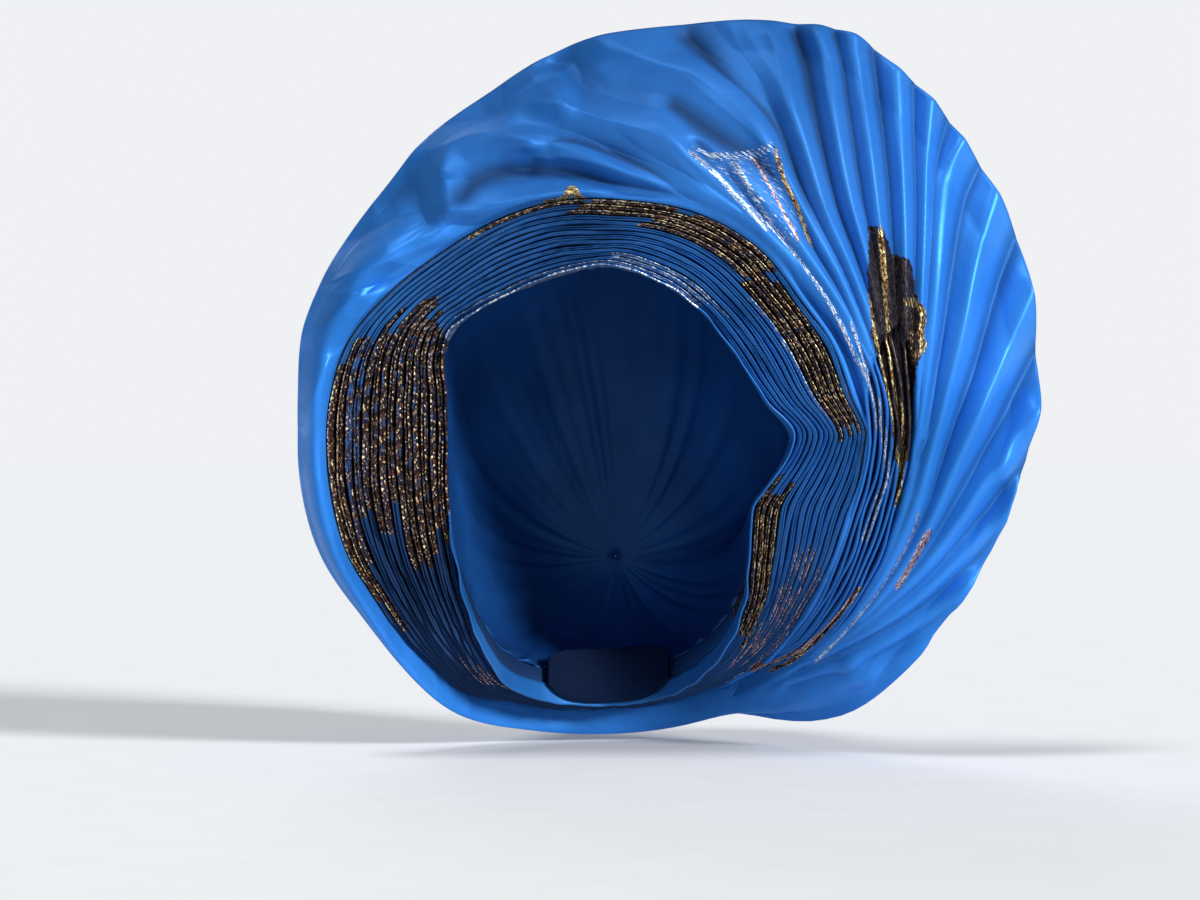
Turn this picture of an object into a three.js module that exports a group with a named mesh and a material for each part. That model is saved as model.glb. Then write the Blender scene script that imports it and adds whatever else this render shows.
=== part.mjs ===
// A pre-tied head tie: one stiff cloth pleated round the face and fanned out into a wide brim.
// Millimetres. +Z is up, the face opening looks along -Y, +X is the wearer's left.
// The origin is the seat, where the top of the head bears on the inside of the crown.
import * as THREE from "three";

// Driving dimensions
const openingRadius = 90; // mean radius of the face opening
const bandWidth = 30; // mean width of the stack of folds round the opening
const fanReach = 110; // how far the fan stands out past the folds at its widest
const ringDepth = 60; // from the side edges of the opening back to the nape
const leanDepth = 14; // how far the outer folds stand in front of the inner ones
const foldDepth = 22; // from a fold's crest back to its seam
const crownBack = 165; // from the crown's seam at the brow to its gathered back
const crownRise = 62; // pull of the crown's cloth above its seam, over the top of the head
const crownSpread = 100; // how widely the back of the crown is rounded above the gathers
const napeSpread = 30; // the same towards the nape
const crownDrop = -44; // height of the gathered back from the opening's centre
const fanRoll = 7; // how far the fan rolls forward before it turns back
const foldCount = 14; // folds in the stack

// Cloth
const foldWall = 1; // a fold is two layers of cloth pressed flat
const fanWall = 1.6;
const crownWall = 1.8;
const browWall = 1.2;
const napeWall = 2;
const seamGap = 0.45; // clearance between neighbouring pieces of cloth
const fanAside = foldWall / 2 + seamGap + fanWall; // the fan's root, out from the last fold
const browGap = 0.9; // clearance of the brow and nape bands, whose sides twist at the nape
const browWidth = 9; // brow band, front to back
const browProud = 1.5; // how far the brow band shows in front of the first fold
const napeHeight = 26; // nape band, top to bottom
const napeFrom = 246; // degrees round the opening
const napeTo = 291;

// Sampling
const fanRows = [0.07, 0.17, 0.3, 0.45, 0.6, 0.75, 0.88, 1];
const flangeRows = [1, 0.5, 0];
const crownRows = [0.12, 0.25, 0.38, 0.52, 0.66, 0.8, 0.92];
const seatRow = 0.25; // where the top of the head bears, at the middle of the crown
const crownGathers = 12;
const gatherHeight = 2.5;

// The ring, anticlockwise from the wearer's left side as the front shows it.
// at: degrees of the outermost fold. lag: degrees from there to the innermost fold.
// inner: share of openingRadius. band: share of bandWidth. back: share of ringDepth behind the
// crown's axis. lean: share of leanDepth, forward. tip: degrees that the crests turn down.
// deep: share of foldDepth. swirl: degrees that the fan's cloth sweeps on to its rim.
const ring = [
  { at: 5, lag: 1.5, inner: 0.89, band: 1.0, back: -0.43, lean: 1.0, tip: 1, deep: 1, swirl: 74 },
  { at: 9, lag: 3, inner: 0.91, band: 0.99, back: -0.46, lean: 1.0, tip: 0, deep: 1, swirl: 74 },
  { at: 18, lag: 6.5, inner: 0.84, band: 1.09, back: -0.55, lean: 1.0, tip: 0, deep: 1, swirl: 72 },
  { at: 31, lag: 14, inner: 0.85, band: 1.1, back: -0.64, lean: 0.93, tip: 0, deep: 1, swirl: 67 },
  { at: 44, lag: 18, inner: 0.915, band: 0.93, back: -0.74, lean: 0.86, tip: 0, deep: 1, swirl: 60 },
  { at: 58, lag: 18.5, inner: 0.975, band: 0.92, back: -0.84, lean: 0.86, tip: 0, deep: 1, swirl: 53 },
  { at: 74, lag: 18, inner: 1.025, band: 0.86, back: -0.92, lean: 0.86, tip: 0, deep: 1, swirl: 45 },
  { at: 89, lag: 16, inner: 1.02, band: 0.88, back: -0.95, lean: 0.86, tip: 0, deep: 1, swirl: 38 },
  { at: 102, lag: 13, inner: 1.03, band: 0.93, back: -0.94, lean: 0.86, tip: 0, deep: 1, swirl: 34 },
  { at: 116, lag: 9, inner: 1.055, band: 0.89, back: -0.9, lean: 0.86, tip: 0, deep: 1, swirl: 31 },
  { at: 130, lag: 3, inner: 1.085, band: 0.84, back: -0.83, lean: 0.86, tip: 0, deep: 1, swirl: 28 },
  { at: 142, lag: -2.5, inner: 1.095, band: 0.95, back: -0.74, lean: 0.93, tip: 0, deep: 1, swirl: 25 },
  { at: 155, lag: -7, inner: 1.05, band: 1.24, back: -0.65, lean: 1.0, tip: 0, deep: 1, swirl: 20 },
  { at: 166, lag: -9, inner: 0.96, band: 1.48, back: -0.58, lean: 1.07, tip: 0, deep: 1, swirl: 16 },
  { at: 176, lag: -6, inner: 0.895, band: 1.61, back: -0.51, lean: 1.07, tip: 0, deep: 1, swirl: 12 },
  { at: 187, lag: 1, inner: 0.885, band: 1.59, back: -0.45, lean: 0.93, tip: 3, deep: 1, swirl: 9 },
  { at: 198, lag: 7.5, inner: 0.94, band: 1.39, back: -0.33, lean: 0.57, tip: 12, deep: 1, swirl: 7 },
  { at: 210, lag: 10, inner: 1.04, band: 1.02, back: -0.13, lean: 0, tip: 26, deep: 0.95, swirl: 5 },
  { at: 224, lag: 8.5, inner: 1.165, band: 0.7, back: 0.17, lean: -0.64, tip: 42, deep: 0.85, swirl: 4 },
  { at: 236, lag: 6, inner: 1.265, band: 0.43, back: 0.5, lean: -1.15, tip: 58, deep: 0.75, swirl: 4 },
  { at: 251, lag: 2, inner: 1.275, band: 0.2, back: 0.87, lean: -1.65, tip: 74, deep: 0.65, swirl: 5 },
  { at: 268, lag: -0.5, inner: 1.25, band: 0.14, back: 1.07, lean: -1.75, tip: 82, deep: 0.62, swirl: 8 },
  { at: 283, lag: -4, inner: 1.235, band: 0.15, back: 1.0, lean: -1.75, tip: 80, deep: 0.65, swirl: 12 },
  { at: 295, lag: -7, inner: 1.21, band: 0.19, back: 0.77, lean: -1.7, tip: 70, deep: 0.75, swirl: 32 },
  { at: 308, lag: -9, inner: 1.13, band: 0.38, back: 0.45, lean: -1.3, tip: 54, deep: 0.85, swirl: 60 },
  { at: 324, lag: -9.5, inner: 0.97, band: 0.68, back: 0.07, lean: -0.43, tip: 34, deep: 0.95, swirl: 72 },
  { at: 337, lag: -10, inner: 0.83, band: 1.0, back: -0.17, lean: 0.29, tip: 18, deep: 1, swirl: 75 },
  { at: 349, lag: -5, inner: 0.74, band: 1.25, back: -0.3, lean: 0.71, tip: 8, deep: 1, swirl: 75 },
  { at: 358, lag: -3.5, inner: 0.79, band: 1.22, back: -0.39, lean: 0.93, tip: 3, deep: 1, swirl: 75 },
];

// The fan's rim. at: degrees. reach: share of fanReach past the outermost fold.
// back: share of ringDepth behind the crown's axis.
const rim = [
  { at: 0, reach: 0.67, back: -0.3 },
  { at: 12, reach: 0.76, back: -0.33 },
  { at: 24, reach: 0.86, back: -0.4 },
  { at: 36, reach: 0.92, back: -0.45 },
  { at: 48, reach: 0.96, back: -0.5 },
  { at: 56, reach: 0.955, back: -0.53 },
  { at: 62, reach: 0.96, back: -0.55 },
  { at: 72, reach: 0.85, back: -0.58 },
  { at: 84, reach: 0.74, back: -0.6 },
  { at: 96, reach: 0.65, back: -0.6 },
  { at: 108, reach: 0.52, back: -0.6 },
  { at: 120, reach: 0.44, back: -0.58 },
  { at: 132, reach: 0.34, back: -0.56 },
  { at: 144, reach: 0.26, back: -0.52 },
  { at: 156, reach: 0.19, back: -0.48 },
  { at: 168, reach: 0.13, back: -0.45 },
  { at: 180, reach: 0.12, back: -0.42 },
  { at: 192, reach: 0.11, back: -0.33 },
  { at: 204, reach: 0.09, back: -0.12 },
  { at: 216, reach: 0.07, back: 0.12 },
  { at: 228, reach: 0.07, back: 0.5 },
  { at: 242, reach: 0.07, back: 1.0 },
  { at: 256, reach: 0.07, back: 1.4 },
  { at: 270, reach: 0.08, back: 1.6 },
  { at: 284, reach: 0.09, back: 1.55 },
  { at: 296, reach: 0.13, back: 1.2 },
  { at: 306, reach: 0.29, back: 0.75 },
  { at: 314, reach: 0.4, back: 0.4 },
  { at: 324, reach: 0.47, back: 0.1 },
  { at: 336, reach: 0.54, back: -0.1 },
  { at: 348, reach: 0.63, back: -0.22 },
];

// Main folds of the fan, each a ridge, or a valley where high is negative, through three places.
// at: degrees. out: share of the way from the folds to the rim. wide: half width, and high: height, mm.
const fanFolds = [
  { at: [-50, 2, 62], out: [0.36, 0.2, 1], wide: 11, high: 8 },
  { at: [-30, 12, 52], out: [0.42, 0.36, 1], wide: 11, high: 7.2 },
  { at: [-46, -8, 38], out: [0.5, 0.45, 1], wide: 12, high: 8 },
  { at: [-48, -16, 20], out: [0.52, 0.52, 1], wide: 12, high: 8 },
  { at: [-52, -26, 4], out: [0.6, 0.6, 1], wide: 11, high: 6.4 },
  { at: [-56, -36, -14], out: [0.66, 0.7, 1], wide: 10, high: 6.4 },
  { at: [18, 52, 72], out: [0.12, 0.3, 0.95], wide: 11, high: 8 },
  { at: [18, 62, 94], out: [0.06, 0.38, 0.85], wide: 12, high: 9.6 },
  { at: [30, 60, 84], out: [0.14, 0.25, 0.62], wide: 10, high: -8 },
  { at: [60, 92, 122], out: [0.06, 0.3, 0.62], wide: 12, high: 9.6 },
  { at: [70, 100, 126], out: [0.3, 0.6, 0.9], wide: 16, high: -9.6 },
  { at: [96, 112, 130], out: [0.1, 0.14, 0.3], wide: 9, high: 8 },
  { at: [112, 130, 148], out: [0.06, 0.5, 0.97], wide: 12, high: 8 },
  { at: [128, 146, 162], out: [0.05, 0.5, 0.97], wide: 11, high: 6.4 },
  { at: [118, 134, 150], out: [0.3, 0.6, 0.9], wide: 10, high: -6.4 },
];

// Columns of the ring where every piece has its corners, so that neighbours keep their clearance.
const columns = [
  1, 6, 11, 17, 24, 31, 38, 45, 53, 61, 69, 77, 85, 93, 101, 109, 117, 125, 132, 139, 146, 152, 158,
  165, 172, 179, 187, 195, 203, 212, 221, 230, 240, 251, 262, 273, 283, 290, 297, 304, 313, 322, 331,
  340, 348, 355,
];

// Panels of the crown, anticlockwise, between seams that lie at two of the columns.
const crownPanels = [
  { name: "crown_top", from: 45, to: 132 },
  { name: "crown_right", from: 132, to: 221 },
  { name: "crown_nape", from: 221, to: 313 },
  { name: "crown_left", from: 313, to: 45 },
];

// Value of a table's column at an angle, as one smooth closed curve through the rows.
function columnAt(table, name, angle) {
  const count = table.length;
  const row = (i) => table[((i % count) + count) % count];
  const place = (i) => row(i).at + 360 * Math.floor(i / count);
  let turned = ((angle % 360) + 360) % 360;
  if (turned < table[0].at) turned += 360;
  let first = count - 1;
  while (place(first) > turned) first -= 1;
  const span = place(first + 1) - place(first);
  const slope = (i) =>
    ((row(i + 1)[name] - row(i - 1)[name]) / (place(i + 1) - place(i - 1))) * span;
  const u = (turned - place(first)) / span;
  const [start, end] = [row(first)[name], row(first + 1)[name]];
  return (
    start * (1 + 2 * u) * (1 - u) ** 2 +
    end * u * u * (3 - 2 * u) +
    slope(first) * u * (1 - u) ** 2 -
    slope(first + 1) * u * u * (1 - u)
  );
}

// Point of the front view at an angle and radius about the opening's centre, set back by depth.
function polar(angle, radius, depth) {
  const turn = THREE.MathUtils.degToRad(angle);
  return new THREE.Vector3(radius * Math.cos(turn), depth, radius * Math.sin(turn));
}

// The stack of folds at an angle: its first and last crests, and the way that the crests face.
function section(angle) {
  const value = (name) => columnAt(ring, name, angle);
  const radius = value("inner") * openingRadius;
  const depth = value("back") * ringDepth;
  const outerDepth = depth - value("lean") * leanDepth;
  const inner = polar(angle + value("lag"), radius, depth);
  const outer = polar(angle, radius + value("band") * bandWidth, outerDepth);
  const tip = THREE.MathUtils.degToRad(value("tip"));
  const facing = new THREE.Vector3(0, -Math.cos(tip), -Math.sin(tip));
  const outward = outer.clone().sub(inner);
  outward.addScaledVector(facing, -outward.dot(facing)).normalize();
  return { inner, outer, facing, outward, deep: value("deep") * foldDepth };
}

// A point of the stack: share across it, aside along its outward way, and behind the crest.
function stackPoint(at, share, aside, behind) {
  return at.inner
    .clone()
    .lerp(at.outer, share)
    .addScaledVector(at.outward, aside)
    .addScaledVector(at.facing, -behind);
}

// Geometry from vertices and faces, turned so that the faces point out.
function solid(points, faces) {
  const volume = faces.reduce(
    (sum, [a, b, c]) => sum + points[a].dot(points[b].clone().cross(points[c])),
    0,
  );
  const outward = volume > 0 ? faces : faces.map(([a, b, c]) => [a, c, b]);
  const geometry = new THREE.BufferGeometry().setFromPoints(points);
  geometry.setIndex(outward.flat());
  geometry.computeVertexNormals();
  return geometry;
}

// Faces between consecutive loops, each closed on itself, and around again if the row is closed.
function loftFaces(loopCount, loopSize, closed) {
  const faces = [];
  for (let i = 0; i < loopCount - (closed ? 0 : 1); i += 1)
    for (let j = 0; j < loopSize; j += 1) {
      const [next, side] = [(i + 1) % loopCount, (j + 1) % loopSize];
      const [a, b] = [i * loopSize + j, i * loopSize + side];
      const [c, d] = [next * loopSize + side, next * loopSize + j];
      faces.push([a, b, c], [a, c, d]);
    }
  return faces;
}

// A closed ring through section loops.
function ringSolid(loops) {
  return solid(loops.flat(), loftFaces(loops.length, loops[0].length, true));
}

// An open bar through convex section loops, with flat ends.
function barSolid(loops) {
  const size = loops[0].length;
  const faces = loftFaces(loops.length, size, false);
  const last = (loops.length - 1) * size;
  for (let j = 1; j < size - 1; j += 1) {
    faces.push([0, j + 1, j]);
    faces.push([last, last + j, last + j + 1]);
  }
  return solid(loops.flat(), faces);
}

// Normals of a sheet given as rows of points round the ring, averaged over the cells at each point.
function sheetNormals(rows) {
  const normals = rows.map((row) => row.map(() => new THREE.Vector3()));
  const count = rows[0].length;
  for (let i = 0; i < rows.length - 1; i += 1)
    for (let j = 0; j < count; j += 1) {
      const next = (j + 1) % count;
      const across = rows[i + 1][next].clone().sub(rows[i][j]);
      const cell = across.cross(rows[i + 1][j].clone().sub(rows[i][next]));
      for (const [r, c] of [[i, j], [i, next], [i + 1, j], [i + 1, next]]) normals[r][c].add(cell);
    }
  return normals.map((row) => row.map((normal) => normal.normalize()));
}

// Both faces of a sheet of that wall: two sets of rows.
function sheetFaces(rows, wall) {
  const normals = sheetNormals(rows);
  const shifted = (side) =>
    rows.map((row, i) => row.map((p, j) => p.clone().addScaledVector(normals[i][j], side * wall)));
  return [shifted(0.5), shifted(-0.5)];
}

// One fold: a strip that runs round the ring with its crest to the front.
function foldSolid(index) {
  const share = index / (foldCount - 1);
  const half = foldWall / 2;
  return ringSolid(
    columns.map((angle) => {
      const at = section(angle);
      return [
        stackPoint(at, share, -half, 0),
        stackPoint(at, share, half, 0),
        stackPoint(at, share, half, at.deep),
        stackPoint(at, share, -half, at.deep),
      ];
    }),
  );
}

// The band along the brow, inside the first fold.
function browSolid() {
  const outside = -(foldWall / 2 + browGap);
  const inside = outside - browWall;
  return ringSolid(
    columns.map((angle) => {
      const at = section(angle);
      return [
        stackPoint(at, 0, inside, -browProud),
        stackPoint(at, 0, outside, -browProud),
        stackPoint(at, 0, outside, browWidth - browProud),
        stackPoint(at, 0, inside, browWidth - browProud),
      ];
    }),
  );
}

// The plain band that closes the tie at the nape, against the inside of the brow band.
function napeSolid() {
  const outside = -(foldWall / 2 + browGap + browWall + browGap);
  const inside = outside - napeWall;
  const stations = columns.filter((angle) => angle >= napeFrom && angle <= napeTo);
  return barSolid(
    stations.map((angle) => {
      const at = section(angle);
      return [
        stackPoint(at, 0, inside, 0),
        stackPoint(at, 0, outside, 0),
        stackPoint(at, 0, outside, napeHeight),
        stackPoint(at, 0, inside, napeHeight),
      ];
    }),
  );
}

// A place on the fan before its folds: degrees, and share of the way out to the rim.
function fanPlace(angle, out) {
  const at = section(angle);
  const reach = columnAt(rim, "reach", angle) * fanReach;
  const rimDepth = columnAt(rim, "back", angle) * ringDepth;
  const depth = THREE.MathUtils.lerp(at.outer.y, rimDepth, out ** 1.7);
  const roll = foldWall + fanRoll * Math.sin(Math.PI * Math.min(1, 1.2 * out));
  return polar(angle, Math.hypot(at.outer.x, at.outer.z) + reach * out, depth)
    .addScaledVector(at.outward, fanAside)
    .addScaledVector(at.facing, roll);
}

// Points along a main fold of the fan, on a smooth curve through its three places.
function foldLine({ at, out }) {
  const places = at.map((angle, i) => new THREE.Vector3(angle, out[i], 0));
  const curve = new THREE.CatmullRomCurve3(places, false, "catmullrom", 0.5);
  return curve.getPoints(24).map((p) => fanPlace(p.x, p.y).setY(0));
}
const foldLines = fanFolds.map((fold) => ({ ...fold, line: foldLine(fold) }));

// How far the folds bring a point of the fan forward.
function foldRise(point) {
  const flat = point.clone().setY(0);
  let rise = 0;
  for (const { line, wide, high } of foldLines) {
    let nearest = Infinity;
    let along = 0;
    line.slice(1).forEach((end, i) => {
      const segment = new THREE.Line3(line[i], end);
      const t = segment.closestPointToPointParameter(flat, true);
      const distance = segment.at(t, new THREE.Vector3()).distanceTo(flat);
      if (distance < nearest) [nearest, along] = [distance, (i + t) / (line.length - 1)];
    });
    const taper = Math.min(1, 5 * along + 0.15) * Math.min(1, 4 * (1 - along) + 0.35);
    rise += high * taper * Math.max(0, 1 - nearest / wide) ** 1.5;
  }
  return rise;
}

// The stack's section halfway between two columns, on the straight line between them.
function middleSection(one, other) {
  const at = { deep: (one.deep + other.deep) / 2 };
  for (const name of ["inner", "outer", "facing", "outward"])
    at[name] = one[name].clone().lerp(other[name], 0.5);
  return at;
}

// The fan: up the side of the last fold, over a roll, and out to the rim.
function fanSolid() {
  const stations = columns.flatMap((angle, i) => {
    const next = i + 1 < columns.length ? columns[i + 1] : columns[0] + 360;
    const [at, after] = [section(angle), section(next)];
    return [
      { angle, at },
      { angle: (angle + next) / 2, at: middleSection(at, after) },
    ];
  });
  const rows = [
    stations.map(({ at }) => stackPoint(at, 1, fanAside, at.deep)),
    stations.map(({ at }) => stackPoint(at, 1, fanAside, -foldWall)),
  ];
  for (const out of fanRows)
    rows.push(
      stations.map(({ angle }) => {
        const swept = angle + columnAt(ring, "swirl", angle) * (1 - (1 - out) ** 2);
        const place = fanPlace(swept, out);
        place.y -= foldRise(place) * Math.min(1, out / 0.15);
        return place;
      }),
    );
  const [front, back] = sheetFaces(rows, fanWall);
  const loop = (j) => [...front.map((row) => row[j]), ...back.map((row) => row[j]).reverse()];
  return ringSolid(stations.map((_, j) => loop(j)));
}

// The gathered point at the back of the crown, on the middle of its wall.
function crownPole() {
  const seam = section(90);
  const depth = seam.inner.y + seam.deep + crownBack;
  return new THREE.Vector3(0, depth, crownDrop);
}

// A point of the crown's cloth on its way from its seam, over the head, to its gathered back.
function crownPlace(angle, share) {
  const at = section(angle);
  const turn = THREE.MathUtils.degToRad(angle);
  const seam = stackPoint(at, 0, 0, at.deep + seamGap + crownWall / 2);
  const pole = crownPole();
  const radial = new THREE.Vector3(Math.cos(turn), 0, Math.sin(turn));
  const over = seam.clone().setY(THREE.MathUtils.lerp(seam.y, pole.y, 0.35));
  over.z += crownRise * Math.max(0, Math.sin(turn));
  const above = Math.sqrt((1 + Math.sin(turn)) / 2);
  const spread = THREE.MathUtils.lerp(napeSpread, crownSpread, above);
  const behind = pole.clone().addScaledVector(radial, spread);
  const place = new THREE.CubicBezierCurve3(seam, over, behind, pole).getPoint(share);
  const gather = gatherHeight * Math.sin(Math.PI * share) * Math.sin(crownGathers * turn);
  return place.addScaledVector(radial, gather);
}

// The crown's cloth as rings of points round the opening: the inside from the gathers to the seam
// and out along the flange that carries the folds, then the outside back to the gathers.
function crownRings() {
  const sections = columns.map(section);
  const flange = (side) =>
    flangeRows.map((share) =>
      sections.map((at) => {
        const aside = share === 0 ? side * (crownWall / 2) : 0;
        return stackPoint(at, share, aside, at.deep + seamGap + (crownWall * (1 + side)) / 2);
      }),
    );
  const middle = sections.map((at) => stackPoint(at, 0, 0, at.deep + seamGap + crownWall / 2));
  const dome = crownRows.map((share) => columns.map((angle) => crownPlace(angle, share)));
  const [outside, inside] = sheetFaces([middle, ...dome], crownWall);
  const rings = [...flange(-1), ...inside.slice(1)].reverse();
  return rings.concat(flange(1), outside.slice(1));
}

// Flat side of a panel: its section between facing rings, and on to the panel's tip.
function panelSide(start, size, front, behind) {
  const faces = [[start, front, behind], [start, behind, start + size - 1]];
  for (let r = 0; r < size / 2 - 1; r += 1) {
    const [near, far] = [start + r, start + size - 1 - r];
    faces.push([near + 1, near, far], [near + 1, far, far - 1]);
  }
  return faces;
}

// One panel of the crown, with half the seam's clearance on each side.
function crownPanelSolid({ from, to }) {
  const rings = crownRings();
  const size = rings.length;
  const first = columns.indexOf(from);
  const steps = (columns.indexOf(to) - first + columns.length) % columns.length;
  const points = [];
  for (let i = 0; i <= steps; i += 1) {
    const column = (first + i) % columns.length;
    const side = Number(i === 0) - Number(i === steps);
    const shift = polar(columns[column] + 90, (side * seamGap) / 2, 0);
    points.push(...rings.map((ring) => ring[column].clone().add(shift)));
  }
  const span = (to - from + 360) % 360;
  const tipGap = seamGap / 2 / Math.sin(THREE.MathUtils.degToRad(span / 2));
  const tip = crownPole().add(polar(from + span / 2, tipGap, 0));
  const half = new THREE.Vector3(0, crownWall / 2, 0);
  points.push(tip.clone().sub(half), tip.clone().add(half));
  const [front, behind] = [points.length - 2, points.length - 1];
  const faces = [];
  for (let i = 0; i < steps; i += 1) {
    const [here, next] = [i * size, (i + 1) * size];
    for (let r = 0; r < size - 1; r += 1) {
      faces.push([here + r, here + r + 1, next + r + 1], [here + r, next + r + 1, next + r]);
    }
    faces.push([front, here, next], [behind, next + size - 1, here + size - 1]);
  }
  faces.push(...panelSide(0, size, front, behind));
  faces.push(...panelSide(steps * size, size, front, behind).map(([a, b, c]) => [a, c, b]));
  return solid(points, faces);
}

const cloth = (color, roughness, metalness) => () =>
  new THREE.MeshStandardMaterial({ color, roughness, metalness });
const sheen = cloth(0x1f7de0, 0.38, 0.1);
const shade = cloth(0x1a5fb4, 0.45, 0.08);
const gilt = cloth(0xb8a26a, 0.35, 0.6);
const plain = cloth(0x17406f, 0.7, 0);

function piece(name, geometry, material) {
  const mesh = new THREE.Mesh(geometry, material());
  mesh.name = name;
  return mesh;
}

const headTie = new THREE.Group();
for (const panel of crownPanels) headTie.add(piece(panel.name, crownPanelSolid(panel), shade));
headTie.add(piece("brow_band", browSolid(), gilt));
headTie.add(piece("nape_band", napeSolid(), plain));
for (let i = 0; i < foldCount; i += 1)
  headTie.add(piece(`fold_${String(i + 1).padStart(2, "0")}`, foldSolid(i), sheen));
headTie.add(piece("fan", fanSolid(), sheen));

// The seat is the inside of the crown at the middle of the head.
const seat = crownPlace(90, seatRow).setX(0);
seat.z -= crownWall / 2;
headTie.position.copy(seat).negate();

export default headTie;
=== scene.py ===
"""A pre-tied head tie of stiff azure cloth: a hollow crown, a stack of pressed folds round the face
opening, and a wide fan with sharp, converging pleats. Shapes are worked out in millimetres about the
opening's centre, and make_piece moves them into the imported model's frame, in metres."""

import math

import bpy
import numpy as np
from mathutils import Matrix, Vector


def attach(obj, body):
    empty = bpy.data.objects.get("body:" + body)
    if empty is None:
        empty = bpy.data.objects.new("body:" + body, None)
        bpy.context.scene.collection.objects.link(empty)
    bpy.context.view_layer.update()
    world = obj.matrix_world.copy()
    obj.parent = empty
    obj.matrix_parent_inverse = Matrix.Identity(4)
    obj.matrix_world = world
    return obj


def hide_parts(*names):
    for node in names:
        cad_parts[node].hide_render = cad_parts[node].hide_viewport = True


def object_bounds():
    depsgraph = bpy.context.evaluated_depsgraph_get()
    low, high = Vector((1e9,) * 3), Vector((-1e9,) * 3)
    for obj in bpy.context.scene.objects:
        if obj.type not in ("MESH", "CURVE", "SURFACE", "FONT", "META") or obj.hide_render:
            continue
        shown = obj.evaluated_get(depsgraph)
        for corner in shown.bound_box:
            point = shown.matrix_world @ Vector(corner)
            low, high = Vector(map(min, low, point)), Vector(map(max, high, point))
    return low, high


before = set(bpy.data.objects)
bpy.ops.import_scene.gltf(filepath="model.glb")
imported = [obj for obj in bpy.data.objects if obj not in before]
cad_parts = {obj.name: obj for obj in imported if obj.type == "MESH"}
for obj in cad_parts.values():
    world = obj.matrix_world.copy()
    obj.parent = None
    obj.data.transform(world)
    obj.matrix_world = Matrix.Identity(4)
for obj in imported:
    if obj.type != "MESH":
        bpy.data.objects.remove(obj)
CAD_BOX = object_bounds()
MM = 0.001


def table(columns, rows):
    """A table's rows, each with its columns named."""
    names = columns.split()
    return [dict(zip(names, row)) for row in rows]


# Driving dimensions, in millimetres, as in the part's source
OPENING_RADIUS = 90
BAND_WIDTH = 30
FAN_REACH = 110
RING_DEPTH = 60
LEAN_DEPTH = 14
FOLD_DEPTH = 22
CROWN_BACK = 165
CROWN_RISE = 62
CROWN_SPREAD = 100
NAPE_SPREAD = 30
CROWN_DROP = -44
FAN_ROLL = 7
FOLD_COUNT = 14
FOLD_WALL = 1
FAN_WALL = 1.6
CROWN_WALL = 1.8
BROW_WALL = 1.2
NAPE_WALL = 2
SEAM_GAP = 0.45
BROW_GAP = 0.9
BROW_WIDTH = 9
BROW_PROUD = 1.5
NAPE_HEIGHT = 26
NAPE_LENGTH = 70
NAPE_FROM = 251
NAPE_TO = 290
SEAT_ROW = 0.25
PLEAT_SLOPE = 1.35  # how steep the fan's pleats may be
PLEAT_FADE = (26, 12)  # a pleat fades between these distances from its lines
CREST_ROUND = 1.5  # how rounded the pleats' crests are, their valleys, and the loose folds
VALLEY_ROUND = 1
FOLD_ROUND = 0.5
PLEATS_MIDDLE = 45  # the middle of the fan's pleated part, in degrees, and how far it reaches
PLEATS_REACH = (125, 95)
GATHER_SINK = 9  # how deep the fan's cloth lies between the gathered pleats
BLADE_TOP = 92  # how far above the opening's centre the gathered pleats begin
BLADE_THICK = (0.5, 1.7)  # of a gathered pleat, at its thinnest and its thickest
BLADE_CREST = 1.2  # how far its crest stands in front of the fan's unfolded cloth
BLADE_STEP = 1.5  # of its cloth from each point across to the next
FOLD_HALF = 0.4  # a fold's half width and its drift, as shares of the space that it has
FOLD_DRIFT = 0.08
FOLD_LIFT = 0.9  # how far a fold's crest rises and falls
TWO_PLIES = (2.3, 3.1)  # a fold shows a second pleat between these spaces
FAN_SHEET = 1.0  # how thick the fine meshes' cloth is
BROW_SHEET = 0.8
CROWN_SHEET = 1.2
FAN_ASIDE = FOLD_WALL / 2 + SEAM_GAP + FAN_WALL

# The size of the gathered pleats' cloth, in metres; only its length is used, for how far their cloth
# coordinates run along them
GATHER_FLAT = (0.08, 0.22)

# Sampling of the fine meshes
RING_STATIONS = 600
FAN_STATIONS = 780
FAN_ROWS = 82
BACK_STEP = 2  # the fan's hidden face has one row for so many of its front
CROWN_STATIONS = 360
CROWN_ROWS = 46
BLADE_POINTS = 150
NAPE_POINTS = 60
NAPE_ROWS = 26

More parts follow.
